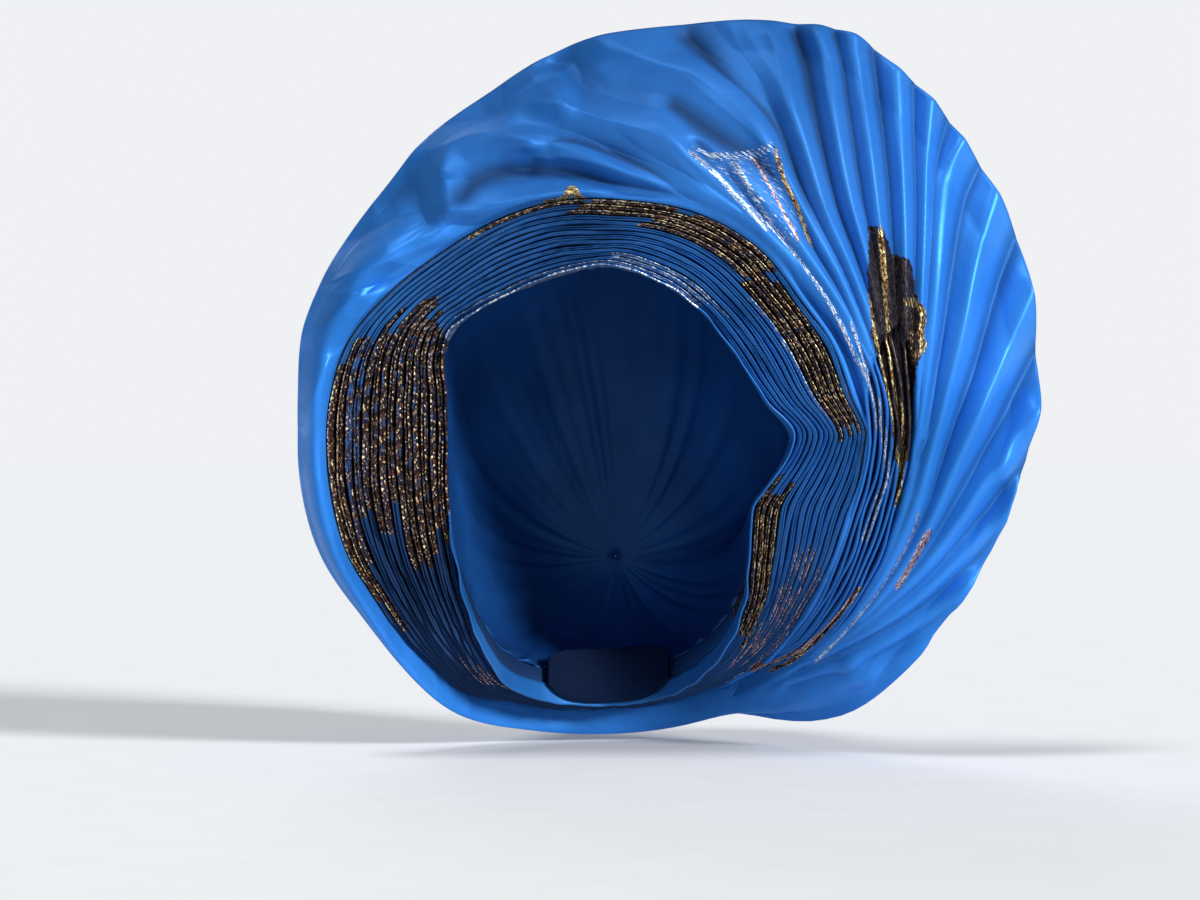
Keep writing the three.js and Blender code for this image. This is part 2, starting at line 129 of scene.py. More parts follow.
# The ring of folds and the fan's rim, as in the part's source: at is degrees round the ring, lag, tip
# and swirl are degrees too, and the rest are shares of the dimensions above.
RING = table("at lag inner band back lean tip deep swirl", [
    (5, 1.5, 0.89, 1.0, -0.43, 1.0, 1, 1, 74),
    (9, 3, 0.91, 0.99, -0.46, 1.0, 0, 1, 74),
    (18, 6.5, 0.84, 1.09, -0.55, 1.0, 0, 1, 72),
    (31, 14, 0.85, 1.1, -0.64, 0.93, 0, 1, 67),
    (44, 18, 0.915, 0.93, -0.74, 0.86, 0, 1, 60),
    (58, 18.5, 0.975, 0.92, -0.84, 0.86, 0, 1, 53),
    (74, 18, 1.025, 0.86, -0.92, 0.86, 0, 1, 45),
    (89, 16, 1.02, 0.88, -0.95, 0.86, 0, 1, 38),
    (102, 13, 1.03, 0.93, -0.94, 0.86, 0, 1, 34),
    (116, 9, 1.055, 0.89, -0.9, 0.86, 0, 1, 31),
    (130, 3, 1.085, 0.84, -0.83, 0.86, 0, 1, 28),
    (142, -2.5, 1.095, 0.95, -0.74, 0.93, 0, 1, 25),
    (155, -7, 1.05, 1.24, -0.65, 1.0, 0, 1, 20),
    (166, -9, 0.96, 1.48, -0.58, 1.07, 0, 1, 16),
    (176, -6, 0.895, 1.61, -0.51, 1.07, 0, 1, 12),
    (187, 1, 0.885, 1.59, -0.45, 0.93, 3, 1, 9),
    (198, 7.5, 0.94, 1.39, -0.33, 0.57, 12, 1, 7),
    (210, 10, 1.04, 1.02, -0.13, 0, 26, 0.95, 5),
    (224, 8.5, 1.165, 0.7, 0.17, -0.64, 42, 0.85, 4),
    (236, 6, 1.265, 0.43, 0.5, -1.15, 58, 0.75, 4),
    (251, 2, 1.275, 0.2, 0.87, -1.65, 74, 0.65, 5),
    (268, -0.5, 1.25, 0.14, 1.07, -1.75, 82, 0.62, 8),
    (283, -4, 1.235, 0.15, 1.0, -1.75, 80, 0.65, 12),
    (295, -7, 1.21, 0.19, 0.77, -1.7, 70, 0.75, 32),
    (308, -9, 1.13, 0.38, 0.45, -1.3, 54, 0.85, 60),
    (324, -9.5, 0.97, 0.68, 0.07, -0.43, 34, 0.95, 72),
    (337, -10, 0.83, 1.0, -0.17, 0.29, 18, 1, 75),
    (349, -5, 0.74, 1.25, -0.3, 0.71, 8, 1, 75),
    (358, -3.5, 0.79, 1.22, -0.39, 0.93, 3, 1, 75),
])

RIM = table("at reach back", [
    (0, 0.67, -0.3), (12, 0.76, -0.33), (24, 0.86, -0.4), (36, 0.92, -0.45), (48, 0.96, -0.5),
    (56, 0.955, -0.53), (62, 0.96, -0.55), (72, 0.85, -0.58), (84, 0.74, -0.6), (96, 0.65, -0.6),
    (108, 0.52, -0.6), (120, 0.44, -0.58), (132, 0.34, -0.56), (144, 0.26, -0.52), (156, 0.19, -0.48),
    (168, 0.13, -0.45), (180, 0.12, -0.42), (192, 0.11, -0.33), (204, 0.09, -0.12), (216, 0.07, 0.12),
    (228, 0.07, 0.5), (242, 0.07, 1.0), (256, 0.07, 1.4), (270, 0.08, 1.6), (284, 0.09, 1.55),
    (296, 0.13, 1.2), (306, 0.29, 0.75), (314, 0.4, 0.4), (324, 0.47, 0.1), (336, 0.54, -0.1),
    (348, 0.63, -0.22),
])

# The fan's pleats, seen from the front, from the brow round to the wearer's left. Each crest runs
# from the rim inwards through places in millimetres right of and above the opening's centre, and a
# valley lies between each two. root: share of the way across the gathered pleats, which the crest
# joins beside the last fold, if it does. high: half the height from valley to crest, where there is room.
PLEATS = table("line root high", [
    ([(-60, 107), (-40, 117), (-21, 122), (0, 123), (21, 121), (42, 115), (60, 104), (73, 92), (85, 76),
     (96, 60), (105, 41), (111, 22), (112, 4)], None, 3),
    ([(-78, 134), (-74, 145), (-57, 149), (-37, 145), (-19, 141), (1, 132), (14, 128), (27, 124),
     (40, 118), (54, 111), (72, 98), (85, 81), (98, 66), (109, 46)], 0, 7),
    ([(17, 153), (30, 140), (49, 126), (66, 106), (80, 92), (93, 76), (106, 58), (113, 38)], 0.125, 5),
    ([(54, 131), (68, 112), (84, 94), (99, 73), (110, 54), (117, 34)], 0.25, 3),
    ([(-4, 192), (2, 189), (19, 181), (36, 176), (53, 168), (62, 156), (68, 145), (74, 127), (85, 111),
     (96, 92), (105, 72), (115, 49), (120, 32)], 0.375, 8),
    ([(69, 196), (72, 187), (77, 163), (85, 137), (93, 111), (102, 92), (112, 70), (118, 49),
     (122, 32)], 0.5, 7),
    ([(92, 196), (96, 182), (97, 165), (100, 138), (104, 119), (110, 101), (115, 80), (120, 56),
     (124, 34)], 0.625, 6),
    ([(104, 198), (109, 167), (113, 137), (116, 108), (119, 85), (123, 58), (127, 34)], 0.75, 7),
    ([(127, 180), (128, 150), (129, 128), (129, 95), (129, 63), (130, 36)], 0.875, 4),
    ([(141, 172), (139, 140), (138, 108), (136, 73), (135, 49), (134, 32)], 1, 8),
    ([(160, 153), (148, 136), (144, 114), (141, 80), (138, 49), (137, 30), (136, 12)], None, 4),
    ([(174, 133), (163, 100), (155, 66), (149, 40), (144, 20), (139.5, 1), (135.5, -17), (125, -42),
     (114, -60)], None, 8),
    ([(190, 84), (176, 53), (169, 36), (159, 17.5), (150, -4), (141, -26), (127, -50),
     (112, -70)], None, 8),
    ([(192, 26), (186, 16.5), (177, 6), (166.5, -11), (154, -26.5), (144, -41), (131, -54.5),
     (117, -68), (100, -84)], None, 8),
    ([(183, -10), (175, -22.5), (163, -34), (152, -45.5), (141, -56), (127, -66), (110, -77),
     (90, -90)], None, 8),
    ([(160, -52), (146, -66), (130, -77), (112, -87), (92, -96), (76, -102)], None, 7),
    ([(138, -80), (124, -88), (106, -96), (88, -103)], None, 5),
])

# The edges of the gathered pleats beside the last fold, in the same places, from where the crests
# above join them to where they go under at the nape.
GATHER_INNER = [(113.4, 17), (111, -4), (106.5, -20), (100.5, -43), (91, -66), (73, -92), (53, -105)]
GATHER_OUTER = [(133.7, 17), (131, -4), (127, -20), (120, -43), (108.5, -66), (86, -91), (59, -109)]

# Loose folds over the brow and at the rim, in the same places: crests, and creases where high is
# negative. left and right: how wide the fold is on each side of its line, seen along it.
LOOSE_FOLDS = table("line high left right", [
    ([(-137, 82), (-124, 85), (-104, 92), (-84, 100), (-62, 108)], 8, 16, 7),
    ([(-144, 54), (-130, 66), (-116, 76), (-100, 82)], 5, 9, 12),
    ([(-143, 16), (-134, 36), (-126, 56)], 4, 14, 9),
    ([(-84, 108), (-76, 114), (-62, 114), (-46, 118), (-30, 121), (0, 121)], 7, 14, 5),
    ([(-27, 184), (-25, 170), (-26, 153)], 6, 8, 26),
    ([(-98, 142), (-93, 131), (-88, 122), (-85, 110), (-79, 103)], -6, 12, 20),
    ([(-66, 128), (-44, 128), (-16, 130), (10, 121), (34, 115)], -5, 14, 10),
    ([(-34, 188), (-25, 180), (-13, 170), (6, 164), (30, 156)], -8, 20, 11),
    ([(-96, 148), (-84, 154), (-64, 160), (-44, 158)], -6, 20, 10),
    ([(-60, 151), (-42, 153), (-25, 151), (-13, 147), (2, 138), (12, 131)], -3, 10, 4),
    ([(-36, 143), (-37, 136), (-42, 129)], -2, 4, 8),
    ([(57, 104), (81, 79.5), (97.5, 59), (106.5, 39), (111.5, 20), (112, 0)], -6, 4, 4),
    ([(189, 8), (180, 2), (172, -8)], 6, 12, 6),
    ([(122, -96), (112, -92), (100, -92)], 4, 10, 6),
    ([(-68, 103), (-90, 94), (-108, 82), (-122, 66)], -3, 4, 6),
])

# Woven metal thread on the folds: degrees round the ring, shares across the stack, how ragged the
# ends are in degrees, and the metal.
FOLD_MOTIFS = table("start end inner outer ragged metal amount", [
    (144, 197, -0.2, 0.75, 9, "bronze", 0.54),
    (150, 193, 0.76, 0.9, 9, "bronze", 0.48),
    (158, 212, 0.91, 1.05, 6, "gold", 0.66),
    (9, 50, 0.55, 0.97, 4, "gold", 0.66),
    (46, 76, 0.66, 1.05, 6, "gold", 0.6),
    (70, 100, 0.8, 1.05, 7, "gold", 0.6),
    (96, 122, 0.95, 1.05, 3, "gold", 0.62),
    (78, 146, -0.3, 0.03, 3, "silver", 0.6),
    (42, 80, -0.3, 0.2, 3, "silver", 0.8),
    (12, 46, 0.48, 0.58, 3, "silver", 0.75),
    (309, 360, 0, 0.28, 6, "gold", 0.62),
    (330, 341, 0.5, 0.8, 2, "copper", 0.68),
    (317, 330, 0.45, 0.82, 3, "copper", 0.68),
    (306, 318, 0.25, 0.7, 3, "copper", 0.68),
    (298, 334, 0.92, 1.05, 2, "copper", 0.68),
    (228, 237, 0.05, 0.4, 3, "copper", 0.65),
])

# Woven metal thread on the fan: bands along lines, in the same places as the fan's folds.
FAN_THREADS = table("line half metal", [
    ([(117, 107), (119, 84), (121, 59), (124, 38), (127, 27), (129, 10), (128, 0),
     (126, -16)], 0.9, "gold"),
    ([(112, 78), (114, 64), (118, 48), (120, 38), (123, 27), (126, 6), (127, 1)], 0.6, "gold"),
    ([(129, 75), (134, 74), (137, 68), (135, 61), (137, 55), (133, 51)], 1.3, "gold"),
    ([(129, 70), (132, 66), (131, 59), (132, 50), (131, 34)], 0.7, "bronze"),
    ([(32, 140), (44, 130), (53, 120), (66, 107)], 1, "silver"),
    ([(34, 142), (44, 139), (58, 140), (69, 144)], 0.8, "silver"),
    ([(50, 138), (60, 122), (68, 110), (75, 101)], 0.7, "silver"),
    ([(60, 138), (68, 124), (75, 111), (80, 102)], 0.6, "copper"),
    ([(69, 143), (74, 128), (80, 116), (86, 100)], 0.8, "gold"),
    ([(49, 124), (62, 113), (76, 99), (87, 85), (97, 70), (107, 50), (114, 35),
     (117, 17)], 0.7, "silver"),
    ([(104, 66), (109, 52), (115, 34), (119, 17)], 0.6, "silver"),
    ([(116, 32), (119, 20), (121, 5), (121, -5), (118, -12), (116, -20), (112, -32)], 1.2, "silver"),
    ([(141, -28), (136, -38), (128, -53)], 1.4, "copper"),
    ([(136, -19), (132, -32), (119, -56), (106, -74), (93, -90)], 0.7, "silver"),
    ([(111, -54), (98, -73), (84, -89), (73, -96)], 0.8, "gold"),
    ([(109, -57), (96, -75), (78, -90), (58, -98), (46, -103)], 1, "copper"),
    ([(-32, 118), (-24, 120), (-20, 124), (-16, 120), (-8, 118)], 1.3, "gold"),
])

# Woven patches on the fan, as corners in the same places, their thread, and how close it is.
FAN_GROUNDS = table("corners metal close", [
    ([(33, 142), (49, 141), (69, 144), (71, 137), (80, 115), (86, 98), (80, 94), (64, 110),
     (47, 125)], "silver", 0.38),
    ([(111, 109), (118, 107), (122, 96), (130, 94), (134, 77), (137, 66), (135, 54), (133, 32),
     (131, 4), (125, 4), (122, 32), (114, 58), (112, 81)], "ground", 1),
])


# Reading the tables


def even_angles(count):
    return np.arange(count) * 360 / count


def turn_between(angles, middle):
    """How far some angles are from another one, the short way round."""
    return np.abs((angles - middle + 180) % 360 - 180)


def curve_value(rows, name, angles):
    """A table's column at some angles, as one smooth closed curve through the rows."""
    at = np.array([row["at"] for row in rows], float)
    value = np.array([row[name] for row in rows], float)
    at = np.concatenate([at[-2:] - 360, at, at[:3] + 360])
    value = np.concatenate([value[-2:], value, value[:3]])
    turned = np.mod(angles, 360)
    turned = np.where(turned < at[2], turned + 360, turned)
    first = np.searchsorted(at, turned, side="right") - 1
    span = at[first + 1] - at[first]
    u = (turned - at[first]) / span

    def slope(i):
        return (value[i + 1] - value[i - 1]) / (at[i + 1] - at[i - 1]) * span

    return (
        value[first] * (1 + 2 * u) * (1 - u) ** 2
        + value[first + 1] * u * u * (3 - 2 * u)
        + slope(first) * u * (1 - u) ** 2
        - slope(first + 1) * u * u * (1 - u)
    )


def smooth_line(points, count=60):
    """Points along a smooth open curve through the given ones."""
    points = np.array(points, float)
    ends = np.vstack([2 * points[0] - points[1], points, 2 * points[-1] - points[-2]])
    place = np.linspace(0, len(points) - 1, count)
    i = np.minimum(place.astype(int), len(points) - 2)
    u = (place - i)[:, None]
    a, b, c, d = ends[i], ends[i + 1], ends[i + 2], ends[i + 3]
    return 0.5 * (
        2 * b + (c - a) * u + (2 * a - 5 * b + 4 * c - d) * u**2 + (3 * b - a - 3 * c + d) * u**3
    )


def nearest_on(line, x, z):
    """From each place to a line of the front view: distance, share of the way along, and side."""
    best = np.full(x.shape, 1e9)
    along = np.zeros(x.shape)
    side = np.ones(x.shape)
    for i in range(len(line) - 1):
        start, step = line[i], line[i + 1] - line[i]
        t = ((x - start[0]) * step[0] + (z - start[1]) * step[1]) / (step @ step)
        t = np.clip(t, 0, 1)
        distance = np.hypot(x - start[0] - t * step[0], z - start[1] - t * step[1])
        closer = distance < best
        best = np.where(closer, distance, best)
        along = np.where(closer, (i + t) / (len(line) - 1), along)
        turn = step[0] * (z - start[1]) - step[1] * (x - start[0])
        side = np.where(closer, np.sign(turn), side)
    return best, along, side


def inside_shape(corners, x, z):
    """How far each place lies inside a shape of the front view, negative outside."""
    corners = np.array(corners, float)
    inside = np.zeros(x.shape, bool)
    edge = np.full(x.shape, 1e9)
    for start, end in zip(corners, np.roll(corners, -1, axis=0)):
        crosses = (start[1] > z) != (end[1] > z)
        rise = np.where(end[1] == start[1], 1e-9, end[1] - start[1])
        inside ^= crosses & (x < (end[0] - start[0]) * (z - start[1]) / rise + start[0])
        edge = np.minimum(edge, nearest_on(np.array([start, end]), x, z)[0])
    return np.where(inside, edge, -edge)


def ripple(angles, seed, low, high, count=9):
    """Smooth wobble round the ring, about -1 to 1, of waves between low and high to a turn."""
    rng = np.random.default_rng(seed)
    turns = np.radians(angles)
    waves = rng.integers(low, high + 1, count)
    phases = rng.uniform(0, math.tau, count)
    total = sum(np.sin(wave * turns + phase) for wave, phase in zip(waves, phases))
    return total / math.sqrt(count)


def smoothstep(low, high, value):
    t = np.clip((value - low) / (high - low), 0, 1)
    return t * t * (3 - 2 * t)


# The ring of folds


def polar(angles, radius, depth):
    turns = np.radians(angles)
    return np.stack(np.broadcast_arrays(radius * np.cos(turns), depth, radius * np.sin(turns)), -1)


def section(angles):
    """The stack of folds at some angles: first and last crests, and the way the crests face."""
    angles = np.asarray(angles, float)

    def value(name):
        return curve_value(RING, name, angles)

    radius = value("inner") * OPENING_RADIUS
    depth = value("back") * RING_DEPTH
    inner = polar(angles + value("lag"), radius, depth)
    outer_radius = radius + value("band") * BAND_WIDTH
    outer = polar(angles, outer_radius, depth - value("lean") * LEAN_DEPTH)
    tip = np.radians(value("tip"))
    facing = np.stack([np.zeros_like(tip), -np.cos(tip), -np.sin(tip)], -1)
    outward = outer - inner
    outward = outward - facing * (outward * facing).sum(-1, keepdims=True)
    width = np.linalg.norm(outward, axis=-1)
    return dict(
        inner=inner,
        outer=outer,
        outer_radius=outer_radius,
        facing=facing,
        outward=outward / width[..., None],
        pitch=width / (FOLD_COUNT - 1),
        deep=value("deep") * FOLD_DEPTH,
    )


def stack_point(at, share, aside, behind):
    """A place in the stack: share across it, aside along its outward way, behind the crest."""
    share, aside, behind = (np.asarray(v, float)[..., None] for v in (share, aside, behind))
    middle = at["inner"] + (at["outer"] - at["inner"]) * share
    return middle + at["outward"] * aside - at["facing"] * behind


def crown_pole():
    seam = section(90.0)
    return np.array([0, seam["inner"][1] + seam["deep"] + CROWN_BACK, CROWN_DROP])


def crown_point(angles, share):
    """The crown's cloth on its way from its seam, over the head, to its gathered back."""
    at = section(angles)
    turns = np.radians(angles)
    seam = stack_point(at, 0, 0, at["deep"] + SEAM_GAP + CROWN_WALL / 2)
    pole = crown_pole()
    radial = np.stack([np.cos(turns), np.zeros_like(turns), np.sin(turns)], -1)
    over = seam.copy()
    over[..., 1] += 0.35 * (pole[1] - seam[..., 1])
    over[..., 2] += CROWN_RISE * np.maximum(0, np.sin(turns))
    above = np.sqrt((1 + np.sin(turns)) / 2)
    spread = NAPE_SPREAD + (CROWN_SPREAD - NAPE_SPREAD) * above
    behind = pole + radial * spread[..., None]
    u = share
    place = (
        seam * (1 - u) ** 3
        + over * 3 * u * (1 - u) ** 2
        + behind * 3 * u**2 * (1 - u)
        + pole * u**3
    )
    return place, radial


def seat():
    place, _ = crown_point(np.array([90.0]), SEAT_ROW)
    return np.array([0, place[0][1], place[0][2] - CROWN_WALL / 2])


SEAT = seat()


# Meshes


def make_piece(name, points, faces, material, uv, masks=None):
    """A mesh object from millimetre points about the opening's centre, moved into the frame."""
    mesh = bpy.data.meshes.new(name)
    mesh.from_pydata(((np.asarray(points) - SEAT) * MM).tolist(), [], faces)
    mesh.polygons.foreach_set("use_smooth", [True] * len(mesh.polygons))
    layer = mesh.uv_layers.new(name="cloth")
    corner = np.empty(len(mesh.loops), np.int32)
    mesh.loops.foreach_get("vertex_index", corner)
    layer.data.foreach_set("uv", (uv[corner] * MM).ravel().astype(np.float32))
    for mask, values in (masks or {}).items():
        layer = mesh.attributes.new(mask, "FLOAT", "POINT")
        layer.data.foreach_set("value", np.asarray(values, np.float32).ravel())
    mesh.materials.append(material)
    mesh.update()
    piece = bpy.data.objects.new(name, mesh)
    bpy.context.scene.collection.objects.link(piece)
    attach(piece, "root")
    return piece


def loop_faces(loops, size, closed):
    """Quads between consecutive closed loops of points."""
    faces = []
    for i in range(loops if closed else loops - 1):
        for j in range(size):
            k, m = (i + 1) % loops, (j + 1) % size
            faces.append((i * size + j, i * size + m, k * size + m, k * size + j))
    return faces


def tube_faces(loops, size):
    """Quads along an open tube of loops, and a face that closes each of its ends."""
    faces = loop_faces(loops, size, False)
    last = (loops - 1) * size
    faces.append(tuple(range(size))[::-1])
    faces.append(tuple(last + k for k in range(size)))
    return faces


def sheet_normals(rows):
    """Normals of a sheet whose rows run round the ring."""
    after = np.roll(rows, -1, axis=1)
    before = np.roll(rows, 1, axis=1)
    across = np.gradient(rows, axis=0)
    normals = np.cross(across, after - before)
    return normals / np.maximum(np.linalg.norm(normals, axis=-1, keepdims=True), 1e-9)


def around(values, step=1):
    """Values of a sheet's rows in order round its section: all on its front, some on its back."""
    back = sorted({*range(0, len(values), step), len(values) - 1}, reverse=True)
    return np.concatenate([values, values[back]], axis=0)


def thick_ring(rows, wall, step=1):
    """Both faces of a sheet that closes round the ring, as loops across it, and its faces."""
    normals = sheet_normals(rows)
    front = rows + normals * wall / 2
    back = rows - normals * wall / 2
    loops = around(front, step)
    loops[len(rows):] = around(back, step)[len(rows):]
    loops = loops.transpose(1, 0, 2)
    return loops.reshape(-1, 3), loop_faces(loops.shape[0], loops.shape[1], True)


def both_faces(values, step=1):
    """A value for each point of a sheet, in thick_ring's order."""
    return around(values, step).T.ravel()


def distances(rows):
    """Millimetres round the ring along a sheet's middle row, and across its rows."""
    middle = rows[len(rows) // 2]
    steps = np.linalg.norm(np.roll(middle, -1, axis=0) - middle, axis=-1)
    along = np.concatenate([[0], np.cumsum(steps)[:-1]])
    across = np.linalg.norm(np.diff(rows, axis=0), axis=-1).mean(axis=1)
    return along, np.concatenate([[0], np.cumsum(across)])


def sheet_uv(rows, step=1):
    """Distances round and across a sheet, in thick_ring's order."""
    along, across = distances(rows)
    u = np.broadcast_to(along, rows.shape[:2])
    v = np.broadcast_to(across[:, None], rows.shape[:2])
    return np.stack([both_faces(u, step), both_faces(v, step)], -1)


# The fan


def fan_point(angles, out):
    """The fan before its folds: degrees, and the share of the way out to the rim."""
    at = section(angles)
    reach = curve_value(RIM, "reach", angles) * FAN_REACH
    rim_depth = curve_value(RIM, "back", angles) * RING_DEPTH
    outer_depth = at["outer"][..., 1]
    depth = outer_depth + (rim_depth - outer_depth) * out**1.7
    roll = FOLD_WALL + FAN_ROLL * np.sin(np.pi * np.minimum(1, 1.2 * out))
    place = polar(angles, at["outer_radius"] + reach * out, depth)
    return place + at["outward"] * FAN_ASIDE + at["facing"] * np.asarray(roll)[..., None]


def pleat_line(pleat):
    """A pleat's crest in the front view, from the rim to its end."""
    line = np.array(pleat["line"], float)
    if pleat["root"] is not None:
        inner, outer = np.array(GATHER_INNER), np.array(GATHER_OUTER)
        line = np.vstack([line, inner + (outer - inner) * pleat["root"]])
    return smooth_line(line, 56)


def evenly(line, count):
    """The same line with its points evenly spaced."""
    steps = np.linalg.norm(np.diff(line, axis=0), axis=1)
    travel = np.concatenate([[0], np.cumsum(steps)])
    places = np.linspace(0, travel[-1], count)
    return np.stack([np.interp(places, travel, line[:, k]) for k in (0, 1)], -1)


CRESTS = [pleat_line(pleat) for pleat in PLEATS]
VALLEYS = [(evenly(a, 40) + evenly(b, 40)) / 2 for a, b in zip(CRESTS, CRESTS[1:])]


def nearest_of(lines, heights, x, z):
    """Distance to the nearest of some lines, and the height there, blended from the lines around."""
    best = np.full(x.shape, 1e9)
    total, height = np.zeros(x.shape), np.zeros(x.shape)
    for line, high in zip(lines, heights):
        distance, _, _ = nearest_on(line, x, z)
        best = np.minimum(best, distance)
        weight = (distance + 0.5) ** -4
        total += weight
        height += high * weight
    return best, height / total


def gathered(x, z):
    """1 inside the gathered pleats, 0 outside, with a short slope between."""
    top = [(112, 42), (118, 60), (126, 66), (131, 58), (134, 40)]
    corners = GATHER_INNER[::-1] + top + GATHER_OUTER
    return smoothstep(-0.6, 2.2, inside_shape(corners, x, z))


def fan_relief(x, z):
    """The fan's cloth at places of the front view: how far it stands forward, how low it lies in a pleat,
    which the fan's painted shade darkens, and how loose it is, away from the pleats."""
    heights = [pleat["high"] for pleat in PLEATS]
    to_crest, crest_high = nearest_of(CRESTS, heights, x, z)
    to_valley, valley_high = nearest_of(VALLEYS, heights, x, z)
    to_crest = np.hypot(to_crest, CREST_ROUND) - 0.8
    to_valley = np.hypot(to_valley, VALLEY_ROUND) - 0.5
    across = to_crest + to_valley
    height = np.minimum(crest_high + valley_high, PLEAT_SLOPE * across)
    near = smoothstep(*PLEAT_FADE, np.minimum(to_crest, to_valley))
    side_share = (to_valley - to_crest) / across
    facet = height * side_share / 2 * near
    loose = np.zeros(x.shape)
    for fold in LOOSE_FOLDS:
        distance, along, side = nearest_on(smooth_line(fold["line"], 24), x, z)
        distance = np.hypot(distance, FOLD_ROUND) - FOLD_ROUND
        wide = np.where(side > 0, fold["left"], fold["right"])
        taper = smoothstep(0, 0.25, along) * smoothstep(1, 0.7, along)
        loose = loose + fold["high"] * taper * np.maximum(0, 1 - distance / wide)
    inside = gathered(x, z)
    relief = (facet + loose) * (1 - inside) - GATHER_SINK * inside
    # How low the cloth lies in a valley, for the painted shade there.
    in_valley = smoothstep(0, -1, side_share) * near
    low = np.maximum(in_valley, 0.3 * smoothstep(0, -6, relief)) * (1 - inside)
    return relief, low, 1 - near


def fan_frame(x, z):
    """The unfolded fan at places of the front view, and the way that its cloth faces there."""
    aim_x, aim_z = x.copy(), z.copy()
    for _ in range(6):
        angles = np.degrees(np.arctan2(aim_z, aim_x))
        at = section(angles)
        reach = curve_value(RIM, "reach", angles) * FAN_REACH
        out = np.clip((np.hypot(aim_x, aim_z) - at["outer_radius"]) / reach, 0, 1)
        place = fan_point(angles, out)
        aim_x = aim_x + x - place[..., 0]
        aim_z = aim_z + z - place[..., 2]
    return place, at["facing"]


# One gathered pleat across: aside as a share of its thickness, and the share of the way down from its
# crest to its foot.
BLADE_PROFILE = [(-0.5, 1.0), (-0.5, 0.16), (-0.36, 0.04), (0, 0), (0.36, 0.04), (0.5, 0.16), (0.5, 1.0)]


def blade_loops(index, pleat):
    """Loops of points along one thin pleat, from the brow down to the nape."""
    line = evenly(pleat_line(pleat), 400)
    line = evenly(line[line[:, 1] < BLADE_TOP], BLADE_POINTS)
    share = np.linspace(0, 1, BLADE_POINTS)
    x, z = line[:, 0], line[:, 1]
    place, facing = fan_frame(x, z)
    room = np.linalg.norm(gather_room(x, z), axis=-1)
    thick = np.clip(0.62 * room, *BLADE_THICK) * smoothstep(0, 0.12, share) * smoothstep(1.02, 0.9, share)
    base = np.minimum(fan_relief(x, z)[0] - 1.5, -1.5)
    wobble = 0.5 * ripple(share * 360, 300 + index, 2, 9)
    rise = smoothstep(0, 0.3, share) * smoothstep(1, 0.8, share)
    crest = base + (BLADE_CREST - base + wobble) * rise
    lean = 0.5 * ripple(share * 360, 320 + index, 1, 6)
    side = np.gradient(line, axis=0)
    side = np.stack([side[:, 1], np.zeros(BLADE_POINTS), -side[:, 0]], -1)
    side = side / np.linalg.norm(side, axis=1, keepdims=True)
    loops = []
    for aside, down in BLADE_PROFILE:
        height = crest + (base - crest) * down
        shift = aside * thick + lean * (1 - down)
        loops.append(place + side * shift[:, None] + facing * height[:, None])
    return np.stack(loops, axis=1)


def make_gathered_pleats(material):
    """The thin pleats that crowd together beside the last fold, from the brow down to the nape."""
    size = len(BLADE_PROFILE)
    points, faces = [], []
    for index, pleat in enumerate(PLEATS):
        if pleat["root"] in (None, 1):
            continue
        first = len(points) * BLADE_POINTS * size
        points.append(blade_loops(index, pleat))
        faces.extend(tuple(first + k for k in face) for face in tube_faces(BLADE_POINTS, size))
    along = np.linspace(0, GATHER_FLAT[1] / MM, BLADE_POINTS)
    uv = np.stack([np.repeat(along, size), np.tile(np.arange(size) * BLADE_STEP, BLADE_POINTS)], -1)
    uv = np.tile(uv, (len(points), 1))
    points = np.array(points).reshape(-1, 3)
    masks = metal_masks(points[:, 0], points[:, 2])
    # Painted shade: the gathered pleats are painted a little darker all over.
    masks["shade"] = np.full(len(points), 0.3)
    piece = make_piece("fan_pleats", points, faces, material, uv, masks)


def gather_room(x, z):
    """From one gathered pleat to the next, at places of the front view."""
    inner, outer = smooth_line(GATHER_INNER), smooth_line(GATHER_OUTER)
    _, along, _ = nearest_on(inner, x, z)
    place = np.clip(along * (len(inner) - 1), 0, len(inner) - 1).astype(int)
    spread = 1 + np.maximum(0, z - GATHER_INNER[0][1])[:, None] / 60
    return (outer[place] - inner[place]) / 8 * spread


METALS = ("gold", "bronze", "silver", "copper", "ground")


def metal_masks(x, z):
    """Where metal thread is woven into the fan, and its dark grounds, by place in the front view."""
    masks = {name: np.zeros(x.shape) for name in METALS}
    for thread in FAN_THREADS:
        distance, _, _ = nearest_on(smooth_line(thread["line"]), x, z)
        band = np.clip(1 - distance / (2 * thread["half"]), 0, 1)
        masks[thread["metal"]] = np.maximum(masks[thread["metal"]], band)
    for ground in FAN_GROUNDS:
        inside = smoothstep(-3.5, 3.5, inside_shape(ground["corners"], x, z))
        masks[ground["metal"]] = np.maximum(masks[ground["metal"]], ground["close"] * inside)
    return masks


def fan_shade(rows, low):
    """Painted shade on the fan's cloth: darker over the brow, and darker where it lies low between its
    pleats.
    """
    x, z = rows[..., 0], rows[..., 2]
    # Painted shade, darker higher over the brow and towards its middle.
    over = smoothstep(30, 150, z) * smoothstep(150, 60, np.abs(x - 20))
    return np.clip(0.42 * over + 0.55 * low, 0, 1)


def fan_angles():
    """Stations round the fan, closer together where its pleats are."""
    even = np.arange(721) / 2
    dense = 0.5 + 2.1 * smoothstep(*PLEATS_REACH, turn_between(even, PLEATS_MIDDLE))
    travel = np.concatenate([[0], np.cumsum((dense[1:] + dense[:-1]) / 2)])
    return np.interp(np.arange(FAN_STATIONS) / FAN_STATIONS, travel / travel[-1], even)


